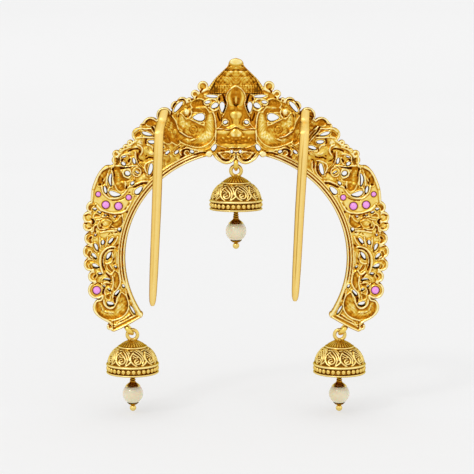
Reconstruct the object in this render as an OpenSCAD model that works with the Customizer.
// Hair brooch for a bun: a cast horseshoe arch of peacocks, vines and a seated figure under a roof,
// worn with its two flat hair pins behind it and three bell drops with pearls hanging from it.
// +Z is up, the ornamental front faces +Y and the pins lie behind, about the XZ plane.

/* [Arch] */
// Half width of the horseshoe opening at its widest
opening_half_w = 25.5; // [24.5:0.5:26.5]
// Half height of the ellipse that the opening follows
opening_half_h = 24.4; // [23.9:0.1:24.9]
// Height of that ellipse's centre, below the origin between the pins
opening_z = -11; // [-11.5:0.1:-10.5]
// Clear gap for hair between the pins and the arch's back
hair_gap = 4.3; // [4.1:0.1:5]
// Depth of the hollows that open at the back of the casting
hollow_depth = 1.2; // [0.8:0.1:1.4]
// Thickness of the casting's front wall
front_wall = 1; // [0.8:0.1:1.4]
// Height of the raised relief on the front
relief_h = 0.8; // [0.4:0.1:1.2]

/* [Hair pins] */
// Width of a pin under its soldered head
pin_w = 2; // [1.6:0.1:2.4]
// Width of a pin just above its point
pin_tip_w = 1.3; // [1:0.1:1.6]
// Thickness of a pin
pin_t = 1.2; // [0.9:0.1:1.4]
// Height at which a pin has bent clear of the arch
pin_bend_z = 18.4; // [18:0.1:18.8]

/* [Stones] */
// Clearance round a stone in its collet
stone_fit = 0.05; // [0.03:0.01:0.08]
// Width of the ledge that a stone rests on
ledge_w = 0.12; // [0.1:0.01:0.16]

/* [Bell drops] */
// Outer radius of a bell at its mouth
bell_r = 6.14; // [5.8:0.02:6.3]
// Height of a bell from its mouth to the top of its dome
bell_h = 7.8; // [7.4:0.1:8.2]
// Wall thickness of a bell
bell_wall = 0.42; // [0.35:0.01:0.5]
// Outer radius of the loop on top of a bell
loop_r = 1.6; // [1.5:0.05:1.7]
// Radius of the hole in that loop
loop_hole_r = 0.76; // [0.72:0.02:0.8]
// Radius of the wire of the arch's eyelets
eyelet_wire_r = 0.38; // [0.34:0.01:0.4]
// Radius of an eyelet at the middle of its wire
eyelet_r = 1.2; // [1.1:0.05:1.3]

/* [Pearl drops] */
// Radius of a pearl
pearl_r = 2.4; // [2.2:0.05:2.5]
// Radius of the wire that a pearl is threaded on
wire_r = 0.3; // [0.25:0.01:0.34]
// Height of a pearl's centre, below the bell's mouth
pearl_drop = 4.95; // [4.9:0.01:5.2]

/* [Hidden] */
$fn = 48;

gold = [0.86, 0.62, 0.2];
pale_gold = [0.93, 0.78, 0.42];
old_gold = [0.72, 0.47, 0.14];
pink = [0.88, 0.5, 0.84];
cream = [0.95, 0.91, 0.82];

// Depths of the casting, from its back face to the top of its relief
back_y = pin_t / 2 + hair_gap;
floor_y = back_y + hollow_depth;
face_y = floor_y + front_wall;
relief_y = face_y + relief_h;
mid_y = (back_y + relief_y) / 2;

// Overlap that joins outlines which only touch, and the thinnest slice that a hull starts from
weld = 0.001;
sliver = 0.02;

// Points on the outer edge of the right half, between its lobes, from the roof down: x, z
EDGE = [
    [1.9, 32.5], [6.2, 27.8], [7.2, 27.6], [8.6, 26.8], [9.9, 25.4], [12, 24.4], [14.6, 22.6], [17.4, 21],
    [20.6, 19], [23.2, 15.8], [26.4, 13.4], [28.2, 10.4], [29.9, 10.1], [31.6, 8.1], [32.9, 4.9],
    [33.2, 2.2], [33.6, -1.6], [33.3, -5.4], [33.4, -8.6], [33.2, -11.6], [32.7, -16.4],
    [30.9, -20.2], [32.5, -21.4], [32.6, -23.8], [30.2, -25.8], [28.9, -26.6], [28.2, -28.2],
    [22.1, -25.1], [21.9, -24.4]
];
// Scalloped lobes along that edge: x, z, radius
LOBES = [
    [7.5, 28.1, 1.2], [9.3, 26.4, 0.9], [10.6, 24.9, 0.7], [12.2, 24.4, 1.3], [13.6, 23.6, 1.2],
    [16.3, 21.6, 1.75], [19.4, 19.2, 1.95], [20.7, 18.8, 1.25], [22.1, 17.2, 1.6], [24.1, 15.3, 0.7],
    [25.1, 14.3, 0.7], [26.1, 13.5, 0.6], [27.3, 12.8, 0.85], [27.3, 11.4, 1], [32.9, 0.6, 1.35],
    [33.7, -1.75, 1.35], [33.75, -3.7, 1.3], [33.2, -6.6, 1.55], [33.5, -9.6, 1.6],
    [33.35, -12.6, 1.6], [32.6, -15.4, 1.4], [32.05, -18.6, 2], [31.6, -22.4, 1.4], [29, -27.1, 0.8]
];
// Holes pierced through the right half: x, z, half length, half width, turn, bend, taper
HOLES = [
    [5.55, 25.95, 1.3, 0.3, 4, 0, 0], [6.45, 24.55, 0.6, 0.3, -10, 0, 0],
    [4.75, 23.75, 0.8, 0.5, -32, 0, -0.2], [3.15, 23.3, 1.3, 0.45, 92, 0, 0.4],
    [4.05, 21.3, 1.1, 0.2, 66, 0, 0], [2.4, 20, 0.55, 0.4, -25, 0, 0.1],
    [8.5, 21.1, 1.25, 0.8, -8, 0, -0.4], [13.15, 23.5, 1.2, 0.4, -47, -0.2, 0],
    [7.9, 26.7, 0.45, 0.25, -35, 0, 0.3], [5, 14.3, 0.8, 0.45, -58, 0, 0.2],
    [10.05, 13.3, 0.6, 0.28, 8, 0, 0], [13.55, 13.3, 0.75, 0.24, -46, 0, 0],
    [15.65, 13.1, 0.7, 0.3, -40, 0, 0], [20.25, 17.3, 1.1, 0.3, 13, 0, 0.2],
    [19.2, 15.45, 0.8, 0.3, 0, 0, 0], [17.45, 14.2, 0.9, 0.26, -18, -0.1, 0],
    [19.48, 9.35, 1.4, 0.42, -77, 0.1, 0], [21.35, 11.3, 0.5, 0.28, 30, 0, 0],
    [23.3, 11.3, 0.65, 0.33, 80, 0, 0], [25.75, 10.6, 0.6, 0.4, 65, 0, 0],
    [25.2, 12.2, 0.8, 0.2, -32, -0.2, 0], [23.6, 13.75, 0.9, 0.2, -6, 0, 0],
    [24.8, 8.35, 0.5, 0.48, 0, 0, 0], [23.6, 6.2, 0.6, 0.34, -50, 0, 0],
    [28.8, 6.8, 1.4, 0.26, 90, 0.3, 0], [29.85, 4.4, 0.9, 0.3, 80, 0, -0.2],
    [27.5, 3.5, 1.5, 0.5, 5, 0.2, 0.3], [22.2, 4.4, 1.1, 0.45, -47, 0, 0.3],
    [27.55, -1.6, 0.5, 0.22, -60, 0, 0], [31.1, -0.55, 0.5, 0.26, 15, 0, 0],
    [26.45, -4.6, 0.6, 0.3, -68, 0, 0], [28.5, -7.2, 1.1, 0.36, -50, 0, 0],
    [30.42, -7.6, 0.8, 0.3, -76, 0, 0], [31.9, -8.7, 1.1, 0.36, 70, 0, 0.2],
    [32.3, -10.8, 0.9, 0.44, 40, 0, 0.3], [31.95, -13.05, 0.9, 0.4, 16, 0, 0.3],
    [31.1, -14.95, 0.75, 0.3, -8, 0, 0], [29.5, -16.4, 1.1, 0.22, 8, -0.3, 0],
    [29, -10.65, 1.3, 0.4, -58, -0.1, 0], [25.8, -17.5, 0.5, 0.34, 78, 0, 0],
    [27.2, -19.7, 1.6, 0.24, -62, -0.1, 0], [24.95, -19.3, 1, 0.22, 76, 0, 0],
    [28.9, -21.8, 0.95, 0.5, 12, 0.1, 0.1], [23.8, -22.9, 1, 0.3, 62, 0, 0]
];
// Round bowls hollowed into the back of the right half: x, z, half length, half width, turn
BOWLS = [
    [11, 20, 2.3, 2.5, 0], [18.9, 19.5, 1.8, 0.8, -10], [22.2, 17.3, 0.8, 0.5, -12],
    [27, 11.8, 1.2, 0.4, 90], [30.4, -3.3, 0.8, 0.5, -18], [33.4, -7, 0.8, 0.45, 70],
    [33.6, -10.2, 0.7, 0.4, 60], [33.4, -12.9, 0.65, 0.35, 45], [8.9, 24, 1, 0.5, 0]
];
// Spines of the long hollows in the back of the right half: x, z, half width
PEACOCK = [[12, 15.4, 0.3], [9, 15.2, 0.9], [6.6, 17, 1.3], [5.9, 19.6, 1.1], [6.8, 22.4, 0.8], [8, 23, 0.5]];
TAIL = [[15.9, 22.2, 0.6], [15.8, 20, 1.1], [15, 17.6, 1.4], [13, 16, 0.6]];
YALI = [[28.1, 9.2, 0.4], [27.1, 7.6, 0.6], [26.4, 5.4, 0.6]];
HORN = [[29.2, 9.3, 0.3], [30.6, 7.9, 0.5], [31.6, 5.7, 0.3]];
LEAF = [[26.3, -1.4, 0.2], [26.6, -3.2, 0.45], [28.2, -3.4, 0.25]];
BIRD = [[29.2, -13.4, 0.3], [27.6, -15.2, 0.6], [27.6, -18.2, 0.3]];
SWAN = [
    [30.6, -20.9, 0.4], [31.2, -22.4, 0.7], [29.4, -24, 0.9], [26.8, -23.2, 1.1], [26, -20.2, 0.3]
];
SPINES = [PEACOCK, TAIL, YALI, HORN, LEAF, BIRD, SWAN];
// Scrolls that meet under the lotus: x, z, half width
SCROLL = [[0.6, 12.4, 0.6], [1.2, 11.4, 0.7], [2.6, 11.6, 0.8], [4.3, 12.8, 0.8]];
// Leafy body of a scroll: x, z, half length, half width, turn
SCROLL_BODY = [2.2, 12.2, 2.1, 1.35, 5];
// Parts of the seated figure, each an oval: x, z, half length, half width, turn
FIGURE = [
    [0, 25.2, 0.8, 0.65, 90], [0, 22.2, 1.3, 1, 90], [0, 20, 1.4, 0.6, 90],
    [1.5, 21.4, 1.5, 0.4, -62], [2, 17.9, 2.2, 0.6, -6], [0, 16, 1, 0.8, 0]
];
// Lotus seat under the figure: x, z, half length, half width, turn
LOTUS = [[0.9, 15.4, 0.9, 0.5, 70], [2.3, 15.8, 1, 0.5, 50], [0, 14.2, 2, 0.5, 0]];

// Roof over the figure, in tiers: base z, half width at the base, half width at the top, height
TIERS = [[26.7, 6.4, 4.8, 1.5], [28.2, 4.8, 3.2, 1.8], [30, 3.2, 2, 1.6]];
roof_top_z = 33;
finial_r = 1.5;
finial_neck_w = 1.8;
finial_neck_h = 2.4;
finial_sink = 0.4;
// Rims left round the hollows in the back of the tiers
tier_rim = 0.35;
tier_side = 0.7;

// Two fine wires and the groove between them, along the opening's edge
rail_w = 0.55;
rail_groove_w = 0.5;
rail_groove_depth = 0.6;
rail_end_z = -16;

// Stones of the right half, seen in their collets from both sides: x, z, radius
STONES = [
    [24.5, 2.85, 0.65], [26.85, 0.85, 0.92], [29.75, 1.15, 0.9], [31.45, 3.6, 0.6],
    [32.05, -18.6, 0.95]
];
collet_w = 0.4;
collet_h = 0.5;
stone_back = 0.4;
stone_crown = 0.5;

// Hair pins, which both lean the same way: x of the head, of the bend, half way down and of the point
PIN_LEFT = [-16.2, -17.5, -18.4, -19.1];
PIN_RIGHT = [16, 15.75, 15, 13.7];
PIN_Z = [22.9, pin_bend_z, 0, -21.3];
pin_head_l = 2;
pin_mid_w = (pin_w + pin_tip_w) / 2;
pin_point_l = 0.4;
pin_point_w = 0.7;
pin_ridge = 0.25;

// Bell drops: where the arch's eyelet holds each one, and where the solder post of the eyelet starts
// columns: x, z of the eyelet's lowest wire, x and z of the post's foot on the arch, lean of the eyelet
DROPS = [
    ["mid", 0, 9.15, 0, 12.6, 0],
    ["left", -24, -28.91, -26.2, -26.1, -40],
    ["right", 24, -28.91, 26.2, -26.1, 40]
];
post_r = 0.55;
loop_wire_r = (loop_r - loop_hole_r) / 2;
loop_mid_r = (loop_r + loop_hole_r) / 2;
loop_gap = 0.09;
// Height of a bell's loop above its mouth, and of its mouth below the eyelet's wire
loop_h = bell_h + 1.1;
mouth_drop = loop_h + loop_hole_r - eyelet_wire_r - loop_gap;

// Outside of a bell from its mouth to its crown, rings and all, as shares of its radius and height
BELL_OUT = [
    [0.94, 0], [1, 0.01], [1, 0.05], [0.945, 0.08], [0.945, 0.22], [1, 0.24], [1, 0.295], [0.945, 0.33],
    [0.93, 0.385], [0.883, 0.51], [0.774, 0.64], [0.65, 0.73], [0.54, 0.795], [0.54, 0.845],
    [0.5, 0.865], [0.34, 0.95], [0.15, 1], [0, 1]
];
// The plain dome under those rings, in the same shares; the inside follows it
BELL_DOME = [
    [0.945, 0], [0.945, 0.3], [0.883, 0.51], [0.774, 0.64], [0.65, 0.73], [0.5, 0.82], [0.3, 0.93], [0, 1]
];
bead_ring_wire = 0.55;
bead_ring_r = bell_r - bead_ring_wire;
bead_ring_h = 1.15;
hook_r = 0.75;
hook_h = 6;

// Pearl drop: heights below the bell's mouth
drop_wire_gap = 0.05;
thread_r = wire_r + drop_wire_gap;
eye_r = 0.75;
wrap_r = 0.75;
wrap_top = 0.7;
wrap_bottom = 2.15;
bud_r = 0.75;
bud_drop = 0.2;
cap_top = 2.2;
cap_r = 1.4;
cap_wall = 0.25;
cup_r = 1;
cup_foot_r = 0.7;
cup_t = 0.25;
granule_r = 0.75;

// A bean: an oval that may bend like a crescent and taper like a drop
function bean(x, z, a, b, turn, bend, taper) =
    let (n = max(8, 2 * round(4 + 1.5 * a)))
    [for (i = [0 : n - 1])
        let (
            t = 360 * i / n,
            u = a * cos(t),
            v = b * sin(t) * (1 + taper * cos(t)) + bend * pow(cos(t), 2)
        )
        [x + u * cos(turn) - v * sin(turn), z + u * sin(turn) + v * cos(turn)]];

// A point on the smooth curve through a table's rows, a share t of the way from row i to the next
function through(rows, i, t) =
    let (
        a = rows[max(i - 1, 0)], b = rows[i], c = rows[i + 1], d = rows[min(i + 2, len(rows) - 1)]
    )
    (2 * b + (c - a) * t + (2 * a - 5 * b + 4 * c - d) * t * t + (3 * b - a - 3 * c + d) * t * t * t) / 2;

// The smooth curve through a table's rows, in short steps
function smooth(rows, steps) = concat(
    [for (i = [0 : len(rows) - 2], k = [0 : steps - 1]) through(rows, i, k / steps)],
    [rows[len(rows) - 1]]
);

// A bell's profile in millimetres, from a table of shares
function bell_profile(shares) = [for (p = shares) [bell_r * p.x, bell_h * p.y]];

// Unit vector along a curve at point i
function along(c, i) =
    let (d = c[min(i + 1, len(c) - 1)] - c[max(i - 1, 0)])
    [d.x, d.y] / norm([d.x, d.y]);

// One side of a curve, at the half width that each row gives
function side(c, s) = [for (i = [0 : len(c) - 1])
    let (d = along(c, i))
    [c[i].x - s * d.y * c[i].z, c[i].y + s * d.x * c[i].z]];

// The inside of a bell from its crown down: its dome's profile, moved inwards by a wall
function lining(c, wall) = [for (i = [len(c) - 1 : -1 : 0])
    let (d = along(c, i))
    [max(0, c[i].x - wall * d.y), c[i].y + wall * d.x]];

// The opening's edge, grown outwards by a width, from one angle to another
function opening_edge(grow, from, to, n) = [for (i = [0 : n])
    let (a = from + (to - from) * i / n)
    [(opening_half_w + grow) * cos(a), opening_z + (opening_half_h + grow) * sin(a)]];

// A flat shape in the XZ plane, given thickness from one depth to another
module slab(from_y, to_y) {
    translate([0, to_y, 0]) rotate([90, 0, 0]) linear_extrude(to_y - from_y) children();
}

module both_sides() {
    children();
    mirror([1, 0, 0]) children();
}

module oval(row) polygon(bean(row[0], row[1], row[2], row[3], row[4], row[5], row[6]));

module plain_oval(row) polygon(bean(row[0], row[1], row[2], row[3], row[4], 0, 0));

module strip(rows) {
    c = smooth(rows, 3);
    right = side(c, 1);
    left = side(c, -1);
    polygon(concat(left, [for (i = [len(right) - 1 : -1 : 0]) right[i]]));
}

module stone_holes_2d(grow) {
    for (s = STONES) translate([s[0], s[1]]) circle(s[2] + grow, $fn = 24);
}

// The opening, with its mouth between the feet
module opening_2d() {
    polygon(concat(opening_edge(0, -33, 213, 64), [[-21, -30], [21, -30]]));
}

module roof_2d() {
    for (t = TIERS) polygon([[-t[1], t[0]], [t[1], t[0]], [t[2], t[0] + t[3]], [-t[2], t[0] + t[3]]]);
    translate([0, roof_top_z - finial_sink]) square([finial_neck_w, finial_neck_h], center = true);
    intersection() {
        translate([0, roof_top_z]) circle(finial_r, $fn = 24);
        translate([-finial_r, roof_top_z]) square([2 * finial_r, finial_r]);
    }
}

// Everything that the casting covers, seen from the front
module outline_2d() {
    difference() {
        union() {
            polygon(concat(EDGE, [for (i = [len(EDGE) - 1 : -1 : 0]) [-EDGE[i].x, EDGE[i].y]]));
            both_sides() for (l = LOBES) translate([l[0], l[1]]) circle(l[2], $fn = 20);
            roof_2d();
        }
        opening_2d();
    }
    both_sides() {
        strip(SCROLL);
        plain_oval(SCROLL_BODY);
    }
}

module holes_2d() {
    both_sides() for (h = HOLES) oval(h);
}

module groove_2d() {
    both_sides() polygon(concat(
        opening_edge(rail_w, asin((rail_end_z - opening_z) / opening_half_h), 72, 30),
        opening_edge(rail_w + rail_groove_w, 72, asin((rail_end_z - opening_z) / opening_half_h), 30)
    ));
}

// The hollow backs of the birds, leaves and lobes
module hollows_2d() {
    both_sides() {
        for (b = BOWLS) plain_oval(b);
        for (s = SPINES) strip(s);
    }
}

module roof_hollows_2d() {
    for (t = TIERS) {
        half_w = t[2] - tier_side;
        translate([-half_w, t[0] + tier_rim]) square([2 * half_w, t[3] - 2 * tier_rim]);
    }
}

module casting_back_2d() {
    offset(delta = weld) difference() {
        outline_2d();
        holes_2d();
        hollows_2d();
        roof_hollows_2d();
        both_sides() stone_holes_2d(-ledge_w);
    }
}

module casting_floor_2d() {
    offset(delta = weld) difference() {
        outline_2d();
        holes_2d();
        both_sides() stone_holes_2d(stone_fit);
    }
}

// Raised work on the front: the birds and leaves bulge where their backs are hollow
module relief_2d() {
    offset(delta = weld) difference() {
        union() {
            hollows_2d();
            roof_hollows_2d();
            for (f = FIGURE) both_sides() plain_oval(f);
            for (l = LOTUS) both_sides() plain_oval(l);
        }
        holes_2d();
        both_sides() stone_holes_2d(stone_fit + collet_w);
    }
}

// Ring of round wire about the Y axis
module ring_y(r, wire) {
    rotate([90, 0, 0]) rotate_extrude() translate([r, 0]) circle(wire, $fn = 20);
}

// Ring of round wire about the X axis
module ring_x(r, wire) {
    rotate([0, 90, 0]) rotate_extrude() translate([r, 0]) circle(wire, $fn = 20);
}

// Round rod from one point to another
module rod(from, to, r) {
    d = to - from;
    translate(from)
        rotate([0, acos(d.z / norm(d)), atan2(d.y, d.x)])
            cylinder(h = norm(d), r = r);
}

// Loop that is soldered under the arch and carries a bell
module eyelet(drop) {
    lean = drop[5];
    up = [sin(lean), 0, cos(lean)];
    wire = [drop[1], mid_y, drop[2]];
    translate(wire + eyelet_r * up) rotate([0, lean, 0]) ring_x(eyelet_r, eyelet_wire_r);
    rod(wire + 2 * eyelet_r * up, [drop[3], mid_y, drop[4]], post_r);
}

module arch() {
    color(gold) {
        slab(back_y, floor_y) casting_back_2d();
        slab(floor_y, face_y) casting_floor_2d();
        slab(face_y, relief_y) relief_2d();
        for (s = STONES, m = [-1, 1]) translate([m * s[0], 0, s[1]]) rotate([-90, 0, 0])
            difference() {
                translate([0, 0, face_y]) cylinder(h = collet_h, r = s[2] + collet_w);
                translate([0, 0, floor_y])
                    cylinder(h = front_wall + 2 * collet_h, r = s[2] + stone_fit + sliver);
            }
        for (d = DROPS) eyelet(d);
    }
}

// One flat pin: a head lying on the arch's back, a bend, and a straight blade with a blunt point
module pin(xs) {
    head_y = back_y - pin_t / 2;
    foot_x = xs[0] + (xs[1] - xs[0]) * pin_head_l / (PIN_Z[0] - PIN_Z[1]);
    stations = [
        [xs[0], head_y, PIN_Z[0], pin_w],
        [foot_x, head_y, PIN_Z[0] - pin_head_l, pin_w],
        [xs[1], 0, PIN_Z[1], pin_w],
        [xs[2], 0, PIN_Z[2], pin_mid_w],
        [xs[3], 0, PIN_Z[3], pin_tip_w],
        [xs[3], 0, PIN_Z[3] - pin_point_l, pin_point_w]
    ];
    color(pale_gold) for (i = [0 : len(stations) - 2]) hull() {
        pin_slice(stations[i]);
        pin_slice(stations[i + 1]);
    }
}

// Cross-section of a pin, with the low ridge along its back: x, y, z, width
module pin_slice(row) {
    w = row[3];
    translate([row[0], row[1], row[2]]) linear_extrude(sliver)
        polygon([[-w / 2, pin_t / 2], [-w / 2, pin_ridge - pin_t / 2], [0, -pin_t / 2],
            [w / 2, pin_ridge - pin_t / 2], [w / 2, pin_t / 2]]);
}

module pin_left() { pin(PIN_LEFT); }

module pin_right() { pin(PIN_RIGHT); }

// A round stone: its back shows through the collet, its ledge takes the stone, its crown is domed
module stone(i, m) {
    s = STONES[i];
    r = s[2];
    back_r = r - ledge_w - stone_fit;
    crown_y = face_y + collet_h;
    color(pink) translate([m * s[0], 0, s[1]]) rotate([-90, 0, 0]) rotate_extrude()
        polygon([[0, back_y + stone_back], [back_r, back_y + stone_back], [back_r, floor_y],
            [r, floor_y], [r, crown_y], [r * 0.8, crown_y + stone_crown * 0.6],
            [r * 0.45, crown_y + stone_crown * 0.9], [0, crown_y + stone_crown]]);
}

// Height of a bell's mouth in the brooch's frame
function mouth_z(drop) = drop[2] - mouth_drop;

// A bell's dome with its rings, the loop on top and the hook inside its crown
module bell(drop) {
    color(old_gold) translate([drop[1], mid_y, mouth_z(drop)]) {
        rotate_extrude()
            polygon(concat(bell_profile(BELL_OUT), lining(bell_profile(BELL_DOME), bell_wall)));
        translate([0, 0, bead_ring_h]) rotate_extrude()
            translate([bead_ring_r, 0]) circle(bead_ring_wire, $fn = 24);
        translate([0, 0, loop_h]) ring_y(loop_mid_r, loop_wire_r);
        translate([0, 0, hook_h]) ring_y(hook_r, wire_r);
        rod([0, 0, hook_h + hook_r], [0, 0, bell_h - bell_wall / 2], wire_r);
    }
}

// The wire that the pearl hangs by: an eye through the bell's hook, a bud, a wrap and a granule below
module pearl_pin(drop) {
    granule_z = -pearl_drop - pearl_r - cup_t - granule_r;
    eye_z = hook_h - hook_r - eye_r + wire_r * 2 + drop_wire_gap;
    color(old_gold) translate([drop[1], mid_y, mouth_z(drop)]) {
        translate([0, 0, eye_z]) ring_x(eye_r, wire_r);
        translate([0, 0, granule_z]) cylinder(h = eye_z - eye_r - granule_z, r = wire_r);
        translate([0, 0, -bud_drop]) sphere(bud_r);
        translate([0, 0, -wrap_bottom]) cylinder(h = wrap_bottom - wrap_top, r = wrap_r);
        translate([0, 0, granule_z]) sphere(granule_r);
    }
}

module pearl(drop) {
    color(cream) translate([drop[1], mid_y, mouth_z(drop) - pearl_drop]) difference() {
        sphere(pearl_r);
        cylinder(h = 3 * pearl_r, r = thread_r, center = true);
    }
}

// Height above a pearl's centre at which its seat has a radius
function seat_h(r) = sqrt(pow(pearl_r + drop_wire_gap, 2) - pow(r, 2));

// Cone that caps the pearl's top
module pearl_cap(drop) {
    color(old_gold) translate([drop[1], mid_y, mouth_z(drop) - pearl_drop]) difference() {
        translate([0, 0, seat_h(cap_r)])
            cylinder(h = pearl_drop - cap_top - seat_h(cap_r), r1 = cap_r, r2 = thread_r + cap_wall);
        sphere(pearl_r + drop_wire_gap);
        cylinder(h = pearl_drop, r = thread_r);
    }
}

// Thin cup between the pearl's foot and the granule
module pearl_cup(drop) {
    color(old_gold) translate([drop[1], mid_y, mouth_z(drop) - pearl_drop]) difference() {
        translate([0, 0, -pearl_r - cup_t])
            cylinder(h = pearl_r + cup_t - seat_h(cup_r), r1 = cup_foot_r, r2 = cup_r);
        sphere(pearl_r + drop_wire_gap);
        translate([0, 0, -2 * pearl_r]) cylinder(h = 2 * pearl_r, r = thread_r);
    }
}

arch();
pin_left();
pin_right();
for (i = [0 : len(STONES) - 1]) {
    stone(i, -1);
    stone(i, 1);
}
for (drop = DROPS) {
    bell(drop);
    pearl_pin(drop);
    pearl_cap(drop);
    pearl(drop);
    pearl_cup(drop);
}
